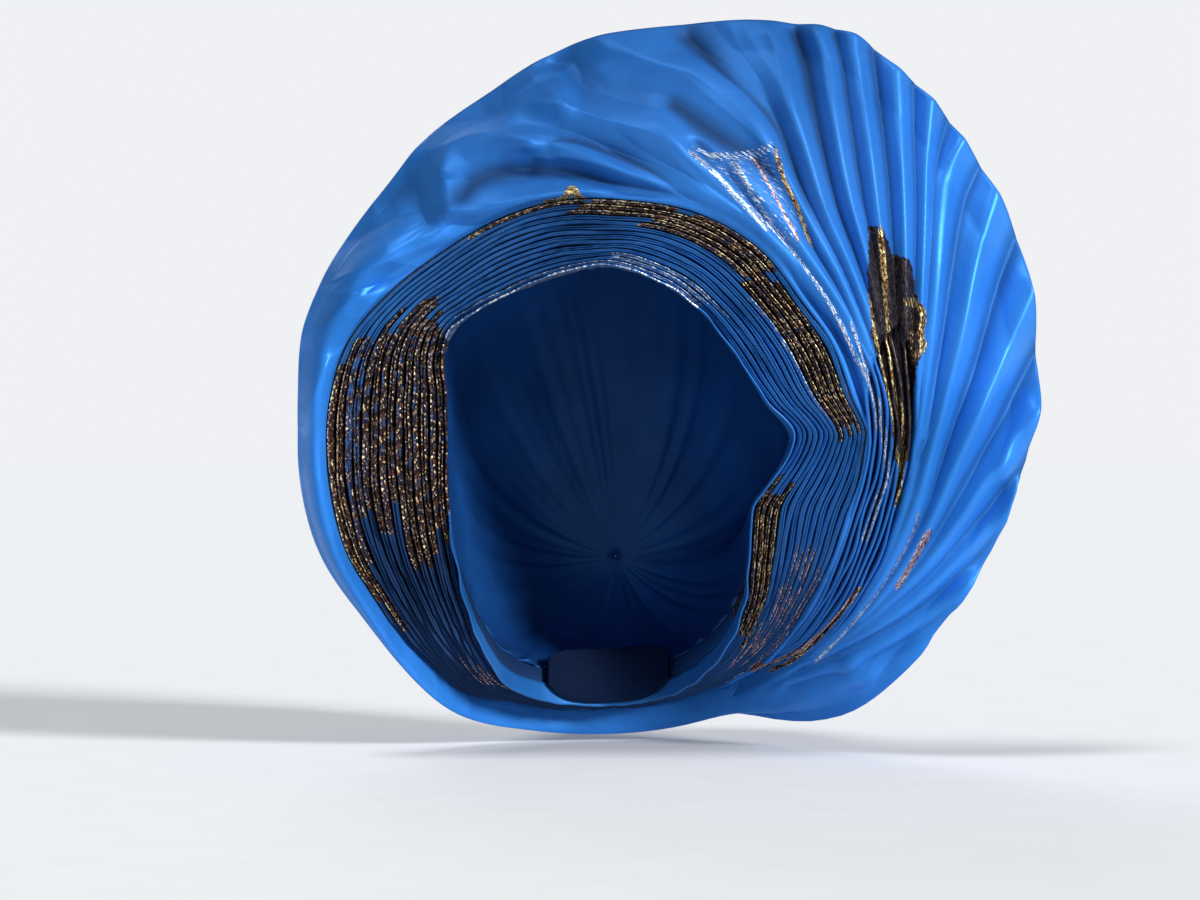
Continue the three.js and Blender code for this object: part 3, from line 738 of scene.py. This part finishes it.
def make_fan(material):
    """The fan's cloth, from beside the last fold out to its rim."""
    angles = fan_angles()
    at = section(angles)
    rows = [stack_point(at, 1, FAN_ASIDE, at["deep"] * deep) for deep in (1, 0.7, 0.4)]
    lows = [np.zeros(FAN_STATIONS)] * len(rows)
    looses = lows.copy()
    swirl = curve_value(RING, "swirl", angles)
    for i in range(FAN_ROWS):
        out = (i / (FAN_ROWS - 1)) ** 1.1
        swept = angles + swirl * (1 - (1 - out) ** 2)
        place = fan_point(swept, out)
        settle = smoothstep(0, 0.03, out)
        inside = gathered(place[:, 0], place[:, 2])
        relief, low, loose = fan_relief(place[:, 0], place[:, 2])
        relief = relief * np.maximum(settle, inside)
        rows.append(place + section(swept)["facing"] * relief[:, None])
        lows.append(low)
        looses.append(loose)
    rows = np.array(rows)
    points, faces = thick_ring(rows, FAN_SHEET, BACK_STEP)
    masks = metal_masks(rows[..., 0], rows[..., 2])
    # Painted shade: darker over the brow and low between the pleats.
    masks["shade"] = fan_shade(rows, np.array(lows))
    masks["loose"] = np.array(looses)
    masks = {name: both_faces(values, BACK_STEP) for name, values in masks.items()}
    piece = make_piece("fan_cloth", points, faces, material, sheet_uv(rows, BACK_STEP), masks)
    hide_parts("fan")


# The folds


def fold_masks(angles, share, seed):
    """Where metal thread is woven into one fold, by degrees round the ring."""
    masks = {name: np.zeros(angles.shape) for name in METALS}
    for motif in FOLD_MOTIFS:
        if not motif["inner"] <= share <= motif["outer"]:
            continue
        rng = np.random.default_rng([seed, motif["start"]])
        early, late = rng.uniform(-1, 1, 2) * motif["ragged"]
        start, end = motif["start"] + early, motif["end"] + late
        middle, half = (start + end) / 2, (end - start) / 2
        away = turn_between(angles, middle)
        mask = motif["amount"] * smoothstep(half + 1.5, half - 1.5, away)
        masks[motif["metal"]] = np.maximum(masks[motif["metal"]], mask)
    return masks


# Painted shade on the folds: degrees round the ring, and how much darker they are painted there.
FOLD_PAINTED_SHADE = table("at dull", [
    (10, 0.2), (40, 0.05), (65, 0.3), (90, 0.65), (125, 0.6), (150, 0.5), (180, 0.8), (200, 1),
    (270, 1), (300, 0.8), (340, 0.4),
])


# Sharp corners of the stack: degrees at its inner and at its outer side, how far each fold's crest
# stands out there, and how many degrees it takes on each side.
CORNERS = table("inner outer high half", [
    (10, 7, 2.6, 13),
    (88, 112, 2.2, 24),
    (146, 150, 1.8, 16),
])


def corner(angles, share):
    """How far a crest stands out of its smooth course at the stack's corners."""
    total = np.zeros(angles.shape)
    for c in CORNERS:
        middle = c["inner"] + (c["outer"] - c["inner"]) * share
        away = turn_between(angles, middle)
        total += c["high"] * np.maximum(0, 1 - away / c["half"])
    return total * (1 - share**4)


# One pressed fold across: place from its inner to its outer side, share of its depth, millimetres
# behind the crest, and how much of a second pleat's notch it takes.
FOLD_PROFILE = [
    (-0.9, 1.0, 0, 0), (-1.0, 0.5, 0, 0), (-1.0, 0, 4.4, 0), (-0.94, 0, 2.9, 0),
    (-0.6, 0, 1.5, -0.5), (-0.2, 0, 0.95, -0.8), (-0.08, 0, 0.9, -0.7), (0.0, 0, 0.8, 1.0),
    (0.1, 0, 0.7, 1.5), (0.45, 0, 0.25, 0.5), (0.7, 0, 0.02, 0), (0.86, 0, 0, 0),
    (0.97, 0, 0.3, 0), (1.0, 0, 1.0, 0), (1.0, 0.5, 0, 0), (0.9, 1.0, 0, 0),
]


def make_fold(index, material):
    """One pressed fold: two plies that close round the ring, with an uneven crest."""
    angles = even_angles(RING_STATIONS)
    at = section(angles)
    share = index / (FOLD_COUNT - 1)
    half = FOLD_HALF * at["pitch"]
    drift = FOLD_DRIFT * at["pitch"] * ripple(angles, 40 + index, 4, 22)
    lift = FOLD_LIFT * ripple(angles, 80 + index, 4, 18) + 0.25 * ripple(angles, 120 + index, 30, 90)
    turn = corner(angles, share)
    second = smoothstep(*TWO_PLIES, at["pitch"]) * (1 if index % 2 == 0 else 0.25)
    loops = []
    for aside, deep, behind, notch in FOLD_PROFILE:
        depth = deep * at["deep"] + behind + notch * second + lift * (1 - deep)
        loops.append(stack_point(at, share, aside * half + drift + turn * (1 - deep), depth))
    rows = np.array(loops)
    points = rows.transpose(1, 0, 2).reshape(-1, 3)
    size = len(FOLD_PROFILE)
    faces = loop_faces(RING_STATIONS, size, True)
    masks = fold_masks(angles, share, index)
    edge = np.array([0.45 < aside <= 1 and deep == 0 for aside, deep, _, _ in FOLD_PROFILE])
    masks = {name: values[:, None] for name, values in masks.items()}
    # Away from each fold's crest, on its receding face and in the gaps, the gold thread is painted as
    # darker bronze: painted shade.
    masks["bronze"] = np.maximum(masks["bronze"], masks["gold"] * ~edge)
    masks["gold"] = masks["gold"] * edge
    for name in ("silver", "copper", "ground"):
        masks[name] = masks[name] * np.where(edge, 1, 0.55)
    # Painted shade on each fold, by its place round the ring, darkest at the lower left, where the shadow
    # falls.
    shade = np.clip(curve_value(FOLD_PAINTED_SHADE, "dull", angles), 0, 1)
    masks["shade"] = np.repeat(shade[:, None], size, axis=1)
    along, across = distances(rows)
    uv = np.stack([np.repeat(along, size), np.tile(across, RING_STATIONS)], -1)
    name = f"fold_{index + 1:02d}"
    piece = make_piece(f"pressed_{name}", points, faces, material, uv, masks)
    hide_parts(name)


# The bands


def make_brow_band(material):
    """The woven selvedge that shows inside the first fold."""
    angles = even_angles(RING_STATIONS)
    at = section(angles)
    middle = -(FOLD_WALL / 2 + BROW_GAP + BROW_WALL / 2)
    wave = 0.3 * ripple(angles, 7, 8, 40) + corner(angles, 0)
    edge = -BROW_PROUD + 0.25 * ripple(angles, 9, 10, 60)
    deeps = [0, 0.08, 0.2, 0.4, 0.6, 0.8, 1]
    rows = np.array([stack_point(at, 0, middle + wave * (1 - d), edge + BROW_WIDTH * d) for d in deeps])
    points, faces = thick_ring(rows, BROW_SHEET)
    masks = fold_masks(angles, -0.1, 99)
    masks = {k: both_faces(np.broadcast_to(v, rows.shape[:2])) for k, v in masks.items()}
    piece = make_piece("selvedge", points, faces, material, sheet_uv(rows), masks)
    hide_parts("brow_band")


def nape_profile():
    """The tape across, from its front edge back and round: half its thickness, ribbed, and behind."""
    row = np.arange(NAPE_ROWS)
    behind = NAPE_HEIGHT * row / (NAPE_ROWS - 1)
    edge = np.minimum(1, 4 * np.minimum(row, NAPE_ROWS - 1 - row) / NAPE_ROWS + 0.45)
    half = NAPE_WALL / 2 * edge * (0.9 + 0.1 * (row % 2))
    return [*zip(-half, behind), *zip(half[::-1], behind[::-1])]


def make_nape_band(material):
    """The adjuster's tape at the nape, with rounded ends."""
    angles = np.linspace(NAPE_FROM, NAPE_TO, NAPE_POINTS)
    at = section(angles)
    middle = -(FOLD_WALL / 2 + 2 * BROW_GAP + BROW_WALL + NAPE_WALL / 2)
    height = 0.5 + 0.5 * (1 - np.abs(np.linspace(-1, 1, NAPE_POINTS)) ** 5)
    centre = NAPE_HEIGHT / 2
    profile = nape_profile()
    rows = [
        stack_point(at, 0, middle + aside, centre + (behind - centre) * height) for aside, behind in profile
    ]
    points = np.stack(rows, axis=1).reshape(-1, 3)
    size = len(profile)
    faces = tube_faces(NAPE_POINTS, size)
    along = np.linspace(0, NAPE_LENGTH, NAPE_POINTS)
    uv = np.stack([np.repeat(along, size), np.tile(np.arange(size), NAPE_POINTS)], -1)
    piece = make_piece("adjuster_band", points, faces, material, uv)
    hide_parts("nape_band")


# The crown


def crown_gathers(angles, share):
    """How far the crown's gathers stand out: deep and many at the gathered back, few over the head."""
    near_pole = share**1.5
    near_seam = math.exp(-((share / 0.12) ** 2))
    broad = 1.6 * ripple(angles, 21, 5, 13)
    fine = 1.5 * ripple(angles, 22, 18, 44)
    seamed = 0.7 * ripple(angles, 23, 40, 90)
    close = 1 - share**6
    return (broad * (1 - near_seam) + fine * near_pole + seamed * near_seam) * close


def make_crown(material):
    """The hollow crown's cloth, from the seam behind the folds to its gathered back."""
    angles = even_angles(CROWN_STATIONS)
    at = section(angles)
    behind = at["deep"] + SEAM_GAP + CROWN_WALL / 2
    rows = [stack_point(at, share, 0, behind) for share in (1, 0.8, 0.6, 0.4, 0.2, 0.06)]
    for i in range(CROWN_ROWS):
        share = 0.9995 * i / (CROWN_ROWS - 1)
        place, radial = crown_point(angles, share)
        rows.append(place + radial * crown_gathers(angles, share)[:, None])
    rows = np.array(rows)
    points, faces = thick_ring(rows, CROWN_SHEET)
    piece = make_piece("crown_cloth", points, faces, material, sheet_uv(rows))
    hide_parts(*[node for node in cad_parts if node.startswith("crown")])


# Materials


class Nodes:
    """A material's node tree, with short calls for the nodes that the cloths share."""

    def __init__(self, name):
        self.material = bpy.data.materials.new(name)
        self.material.use_nodes = True
        self.tree = self.material.node_tree
        self.shader = self.tree.nodes["Principled BSDF"]
        outputs = self.add("ShaderNodeTexCoord", {}).outputs
        self.place, self.cloth = outputs["Object"], outputs["UV"]

    def add(self, kind, inputs, **settings):
        """A node, with values or other nodes' outputs at its inputs."""
        node = self.tree.nodes.new(kind)
        for name, value in settings.items():
            setattr(node, name, value)
        for name, value in inputs.items():
            self.put(value, node.inputs[name])
        return node

    def put(self, value, socket):
        if isinstance(value, bpy.types.NodeSocket):
            self.tree.links.new(value, socket)
        else:
            socket.default_value = value

    def math(self, operation, *values):
        return self.add("ShaderNodeMath", dict(enumerate(values)), operation=operation).outputs[0]

    def vectors(self, operation, inputs):
        return self.add("ShaderNodeVectorMath", inputs, operation=operation).outputs[0]

    def stretched(self, vector, scale):
        return self.add("ShaderNodeMapping", dict(Vector=vector, Scale=scale)).outputs[0]

    def noise(self, vector, scale, detail=2.0, roughness=0.5, output=0):
        inputs = dict(Vector=vector, Scale=scale, Detail=detail, Roughness=roughness)
        return self.add("ShaderNodeTexNoise", inputs).outputs[output]

    def cells(self, vector, scale, output="Color"):
        return self.add("ShaderNodeTexVoronoi", dict(Vector=vector, Scale=scale)).outputs[output]

    def ramp(self, value, stops):
        node = self.add("ShaderNodeValToRGB", {0: value})
        elements = node.color_ramp.elements
        while len(elements) < len(stops):
            elements.new(0.5)
        for element, (position, colour) in zip(elements, stops):
            element.position = position
            element.color = (*colour, 1)
        return node.outputs[0]

    def range(self, value, low, high, to_low=0.0, to_high=1.0):
        inputs = {"Value": value, "From Min": low, "From Max": high, "To Min": to_low, "To Max": to_high}
        return self.add("ShaderNodeMapRange", inputs).outputs[0]

    def mix(self, factor, first, second):
        inputs = {0: factor, 6: first, 7: second}
        return self.add("ShaderNodeMix", inputs, data_type="RGBA").outputs[2]

    def mask(self, name):
        return self.add("ShaderNodeAttribute", {}, attribute_name=name).outputs["Fac"]

    def bump(self, height, strength, distance, under=None):
        inputs = dict(Height=height, Strength=strength, Distance=distance)
        if under is not None:
            inputs["Normal"] = under
        return self.add("ShaderNodeBump", inputs).outputs[0]

    def shaded(self, inputs):
        """The material, with values or nodes' outputs at its shader's inputs."""
        for name, value in inputs.items():
            self.put(value, self.shader.inputs[name])
        return self.material


# The threads' colours from their darkest to their brightest fleck.
THREAD_COLOURS = {
    "ground": [(0.1, (0.016, 0.014, 0.024)), (0.6, (0.035, 0.028, 0.036)), (1, (0.13, 0.1, 0.1))],
    "gold": [(0, (0.014, 0.008, 0.008)), (0.4, (0.09, 0.042, 0.014)), (0.68, (0.5, 0.27, 0.06)),
             (0.88, (1, 0.9, 0.5))],
    "bronze": [(0, (0.008, 0.009, 0.02)), (0.55, (0.035, 0.018, 0.014)), (0.86, (0.2, 0.085, 0.03)),
               (0.98, (1, 0.8, 0.5))],
    "silver": [(0, (0.02, 0.08, 0.26)), (0.45, (0.12, 0.24, 0.5)), (0.75, (0.5, 0.6, 0.75)),
               (1, (1, 1, 1))],
    "copper": [(0, (0.02, 0.05, 0.16)), (0.4, (0.2, 0.1, 0.08)), (0.7, (0.8, 0.45, 0.32)),
               (1, (1, 0.9, 0.85))],
}
TONES = (0.32, 0.5, 0.7)  # where each cloth's three shades lie
# The darker shades of painted shade, which the cloths turn to where their shade mask is set.
PAINTED_SHADE_COLOURS = [(0.006, 0.022, 0.08), (0.01, 0.034, 0.115), (0.016, 0.05, 0.16)]


def crumples(n, strength):
    """Soft creases, with flat facets where the cloth is loose."""
    normal = n.bump(n.noise(n.place, 38, 3, 0.55), strength, 0.004)
    bend = n.vectors("SCALE", {0: n.noise(n.place, 22, output="Color"), "Scale": 0.05})
    warped = n.vectors("ADD", {0: n.place, 1: bend})
    facets = n.cells(warped, 30, "Distance")
    facets = n.math("MULTIPLY", facets, n.math("ADD", 0.15, n.mask("loose")))
    return n.bump(facets, 0.35, 0.006, normal)


def metal_thread(n, base):
    """The colour with flecks of metal thread on it, where the thread is, and how bright each fleck is."""
    ragged = n.noise(n.stretched(n.cloth, (170, 700, 1)), 1, 3, 0.7)
    torn = n.noise(n.place, 260, 3, 0.65)
    glitter = n.cells(n.stretched(n.cloth, (1150, 1500, 1)), 1)
    flash = n.add("ShaderNodeSeparateColor", {0: glitter}).outputs[0]
    woven = 0.0
    for metal, stops in THREAD_COLOURS.items():
        edge = torn if metal == "ground" else ragged
        reach = n.math("ADD", n.mask(metal), n.math("MULTIPLY", edge, 0.8))
        here = n.range(reach, 0.8, 0.92)
        base = n.mix(here, base, n.ramp(flash, stops))
        woven = n.math("MAXIMUM", woven, here)
    return base, woven, flash


def taffeta(name, shades, roughness, metallic, crumple, motifs):
    """Stiff satin-faced cloth: slubbed weave, soft crumples, painted shade where its shade mask is set, and
    metal thread where it is masked.
    """
    n = Nodes(name)
    drift = n.noise(n.place, 14, 3)
    slub = n.noise(n.stretched(n.cloth, (60, 2600, 1)), 1)
    tone = n.math("ADD", n.math("MULTIPLY", drift, 0.8), n.math("MULTIPLY", slub, 0.2))
    bright, dull = [n.ramp(tone, list(zip(TONES, colours))) for colours in (shades, PAINTED_SHADE_COLOURS)]
    # Painted shade: the cloth's own shades give way to the painted dark ones where the shade mask is set.
    base = n.mix(n.mask("shade"), bright, dull)
    threads = n.noise(n.stretched(n.cloth, (900, 5200, 1)), 1, 1)
    normal = n.bump(slub, 0.04, 0.0004, crumples(n, crumple))
    normal = n.bump(threads, 0.05, 0.0002, normal)
    rough = n.range(slub, 0.3, 0.7, roughness - 0.04, roughness + 0.05)
    # Where shade is painted, the cloth is also rougher.
    rough = n.math("ADD", rough, n.math("MULTIPLY", n.mask("shade"), 0.3))
    metal = metallic
    if motifs:
        base, woven, flash = metal_thread(n, base)
        rough = n.math("ADD", rough, n.math("MULTIPLY", woven, -0.08))
        metal = n.range(woven, 0, 1, metallic, 0.8)
        normal = n.bump(n.math("MULTIPLY", flash, woven), 0.4, 0.0005, normal)
    return n.shaded({
        "Base Color": base,
        "Roughness": rough,
        "Metallic": metal,
        "Normal": normal,
        "Specular IOR Level": 0.35,
        "Specular Tint": (0.4, 0.75, 1, 1),
    })


def tape():
    """The adjuster's plain ribbed tape."""
    n = Nodes("nape_tape")
    ribs = n.noise(n.stretched(n.cloth, (260, 1800, 1)), 1)
    return n.shaded({
        "Base Color": n.ramp(ribs, [(0.35, (0.001, 0.005, 0.022)), (0.65, (0.002, 0.01, 0.04))]),
        "Roughness": n.range(ribs, 0.3, 0.7, 0.6, 0.75),
        "Specular IOR Level": 0.05,
        "Normal": n.bump(ribs, 0.4, 0.0008),
    })


# The studio

PALE = (0.84, 0.85, 0.87)  # the floor's paper
FLOOR_GLOW = 0.04
FLOOR_DROP = 0.003  # the floor lies just under the tie
ROOM_LIGHT = 0.2
ROOM_COLOUR = (0.9, 0.95, 1)


def studio_floor():
    """Matt paper with a faint grain."""
    n = Nodes("floor_paper")
    low, high = [tuple(value + change for value in PALE) for change in (-0.01, 0.01)]
    paper = n.ramp(n.noise(n.place, 30, 4), [(0.3, low), (0.7, high)])
    return n.shaded({
        "Base Color": paper,
        "Emission Color": paper,
        "Emission Strength": FLOOR_GLOW,
        "Roughness": 1,
        "Specular IOR Level": 0,
    })


def make_floor():
    bpy.ops.mesh.primitive_plane_add(size=60, location=(0, 0, CAD_BOX[0][2] - FLOOR_DROP))
    floor = bpy.context.object
    floor.name = "studio_floor"
    floor.data.materials.append(studio_floor())


# Soft window light: where from, how strong, and how wide in degrees.
WINDOWS = table("name place power spread", [
    ("key", (0.85, -0.8, 0.42), 3.5, 12),
    ("top", (-0.3, -0.35, 1), 1.1, 16),
    ("back", (-0.2, 1, 0.5), 0.7, 30),
])


def make_surround():
    """A pale surround, as bright as the floor, which lights the object only softly."""
    falls = sum(w["power"] * w["place"][2] / math.hypot(*w["place"]) for w in WINDOWS)
    glow = falls / math.pi + ROOM_LIGHT + FLOOR_GLOW
    world = bpy.data.worlds.new("studio")
    bpy.context.scene.world = world
    world.use_nodes = True
    tree = world.node_tree
    shown = tree.nodes["Background"]
    lighting = tree.nodes.new("ShaderNodeBackground")
    for node, colour, strength in ((shown, PALE, glow), (lighting, ROOM_COLOUR, ROOM_LIGHT)):
        node.inputs[0].default_value = (*colour, 1)
        node.inputs[1].default_value = strength
    path = tree.nodes.new("ShaderNodeLightPath")
    mix = tree.nodes.new("ShaderNodeMixShader")
    tree.links.new(path.outputs["Is Camera Ray"], mix.inputs[0])
    tree.links.new(lighting.outputs[0], mix.inputs[1])
    tree.links.new(shown.outputs[0], mix.inputs[2])
    tree.links.new(mix.outputs[0], tree.nodes["World Output"].inputs["Surface"])


def soft_sun(name, place, power, spread):
    """Even soft light from a direction, as from a large window, spread over some degrees."""
    data = bpy.data.lights.new(name, "SUN")
    data.energy = power
    data.angle = math.radians(spread)
    light = bpy.data.objects.new(name, data)
    light.rotation_euler = Vector([-v for v in place]).to_track_quat("-Z", "Y").to_euler()
    bpy.context.scene.collection.objects.link(light)


VIEW_WIDTH = 0.54
VIEW_DISTANCE = 1.6
VIEW_MIDDLE = (-0.0077, 0.009)
RING_FRONT = -40  # how far the folds come forward, in millimetres


def make_camera():
    """A level camera in front, framed as the photograph is."""
    data = bpy.data.cameras.new("camera")
    camera = bpy.data.objects.new("camera", data)
    front = (RING_FRONT - SEAT[1]) * MM
    x, z = VIEW_MIDDLE
    camera.location = (x, front - VIEW_DISTANCE, z - SEAT[2] * MM)
    camera.rotation_euler = (math.pi / 2, 0, 0)
    data.lens = data.sensor_width * VIEW_DISTANCE / VIEW_WIDTH
    bpy.context.scene.collection.objects.link(camera)
    bpy.context.scene.camera = camera


# Building

# Each cloth: its three shades from dark to light, roughness, metallic sheen, crumples, and whether
# metal thread is woven in.
CLOTHS = dict(
    fan_taffeta=([(0.018, 0.16, 0.54), (0.028, 0.21, 0.7), (0.045, 0.27, 0.84)], 0.4, 0.25, 0.05, True),
    fold_taffeta=([(0.018, 0.13, 0.42), (0.03, 0.19, 0.58), (0.045, 0.25, 0.72)], 0.42, 0.2, 0.05, True),
    selvedge_taffeta=([(0.01, 0.09, 0.3), (0.02, 0.14, 0.45), (0.06, 0.24, 0.6)], 0.4, 0.25, 0.05, True),
    # The crown is the same cloth as the fan, with its shades painted much darker: painted shade for the
    # inside of the crown.
    crown_taffeta=([(0.004, 0.03, 0.13), (0.006, 0.05, 0.2), (0.01, 0.08, 0.3)], 0.45, 0.15, 0.2, False),
)


def build():
    cloths = {name: taffeta(name, *facts) for name, facts in CLOTHS.items()}
    make_fan(cloths["fan_taffeta"])
    make_gathered_pleats(cloths["fan_taffeta"])
    for index in range(FOLD_COUNT):
        make_fold(index, cloths["fold_taffeta"])
    make_brow_band(cloths["selvedge_taffeta"])
    make_nape_band(tape())
    make_crown(cloths["crown_taffeta"])


bpy.context.scene.view_settings.view_transform = "Standard"
make_camera()
make_surround()
for window in WINDOWS:
    soft_sun(**window)
make_floor()
build()
